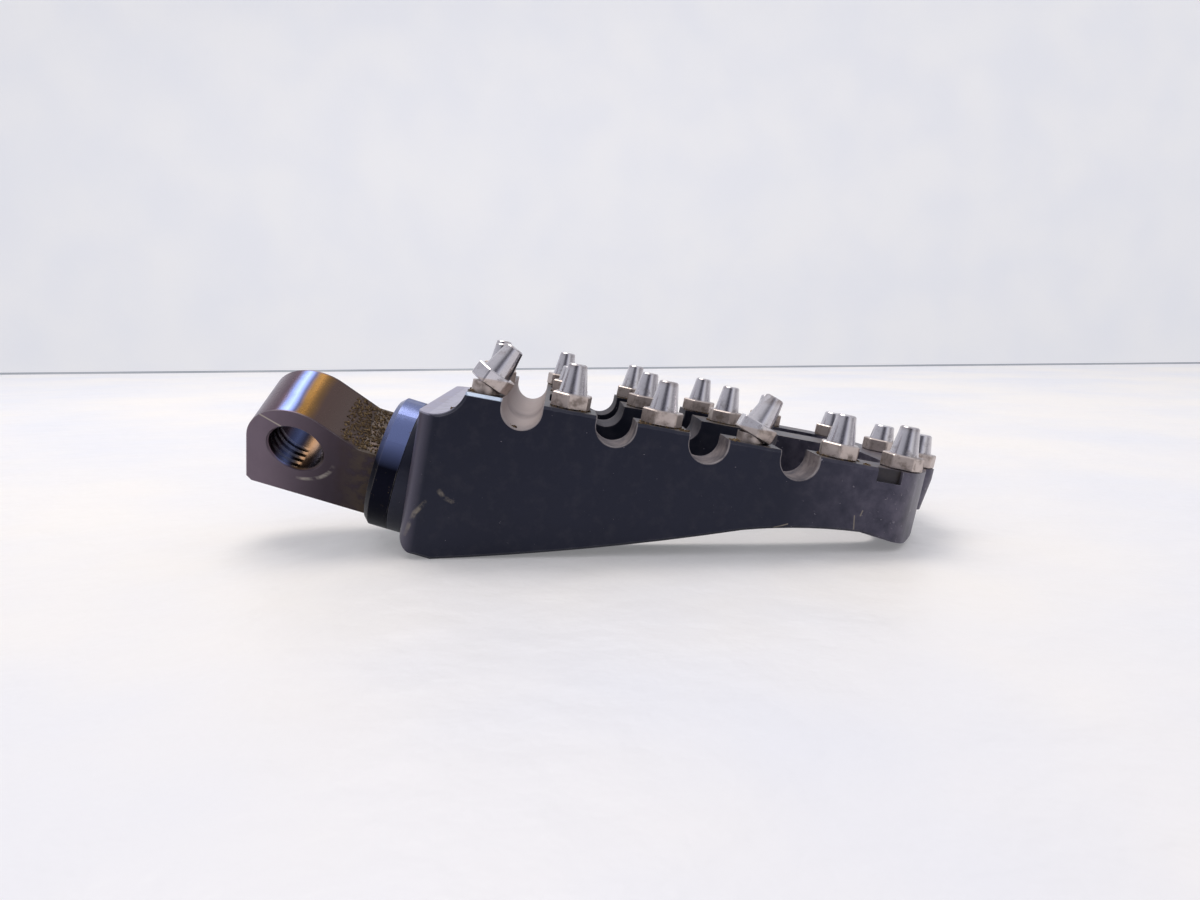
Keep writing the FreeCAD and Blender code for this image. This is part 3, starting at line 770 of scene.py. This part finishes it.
def pale_sheet(name, low, high, rough, glow, ripple):
    """Pale, faintly cloudy surface that glows faintly as painted fill light; ripple is the height of its
    waves in millimetres.
    """
    material, tree, shader = start(name)
    place = add(tree, "ShaderNodeTexCoord").outputs["Object"]
    cloud = noise(tree, place, size=1.0 / CLOUD_SCALE)
    waves = noise(tree, place, size=1.0 / RIPPLE_SCALE, detail=4.0)
    colour = layer(tree, linear(low), linear(high), step(tree, cloud, 0.35, 0.65))
    finish_shader(shader, tree, colour=colour, rough=rough, normal=relief(tree, waves, ripple))
    shader.inputs["Emission Color"].default_value = linear("#f6f6f8")
    shader.inputs["Emission Strength"].default_value = glow
    return material


left, right = (point * MM + Vector((0.0, 0.0, FLOOR)) for point in TABLE_EDGE)
near = TABLE_NEAR * MM
lift = Vector((0.0, 0.0, EDGING_HEIGHT * MM))
stage_quad("table", [(left.x, near, FLOOR), (right.x, near, FLOOR), right, left],
           pale_sheet("white_melamine", "#cdced5", "#dad6d2", rough=0.42, glow=0.205, ripple=1.2))
stage_quad("edging", [left, right, right + lift, left + lift],
           pale_sheet("grey_edging", "#8e959f", "#a5abb4", rough=0.6, glow=0.12, ripple=0.1))
foot = [left + WALL_BEHIND, right + WALL_BEHIND]
stage_quad("wall", foot + [point + WALL_HEIGHT for point in reversed(foot)],
           pale_sheet("white_emulsion", "#cfd1d8", "#d8d8da", rough=0.8, glow=0.42, ripple=0.1))

world = bpy.data.worlds.new("daylight")
bpy.context.scene.world = world
world.use_nodes = True
sky = world.node_tree
way = add(sky, "ShaderNodeTexCoord").outputs["Generated"]
split = add(sky, "ShaderNodeSeparateXYZ", {0: way})
east, north, height = split.outputs
turn = both(sky, east, both(sky, north, -1.0), "ARCTAN2")
room = ramp(sky, step(sky, turn, -math.pi, math.pi), AROUND)
shade = layer(sky, room, linear("#eeeef4"), step(sky, height, *CEILING))
sky.links.new(shade, sky.nodes["Background"].inputs[0])
sky.nodes["Background"].inputs[1].default_value = DAYLIGHT


def soft_lamp(name, place, aim, size, power, colour):
    """A rectangular lamp; places and sizes in metres, power in watts."""
    data = bpy.data.lights.new(name, "AREA")
    data.shape = "RECTANGLE"
    data.size, data.size_y = size
    data.energy = power
    data.color = linear(colour)[:3]
    lamp = bpy.data.objects.new(name, data)
    lamp.location = place
    lamp.rotation_euler = (Vector(aim) - Vector(place)).to_track_quat("-Z", "Y").to_euler()
    bpy.context.scene.collection.objects.link(lamp)


soft_lamp("window_lamp", place=(-0.1, 0.25, 0.7), aim=(0.05, 0.0, 0.0), size=(0.5, 0.35),
          power=3.0, colour="#fff8f0")
bpy.context.scene.view_settings.view_transform = "Standard"
print("stage set, floor at", round(FLOOR, 5))
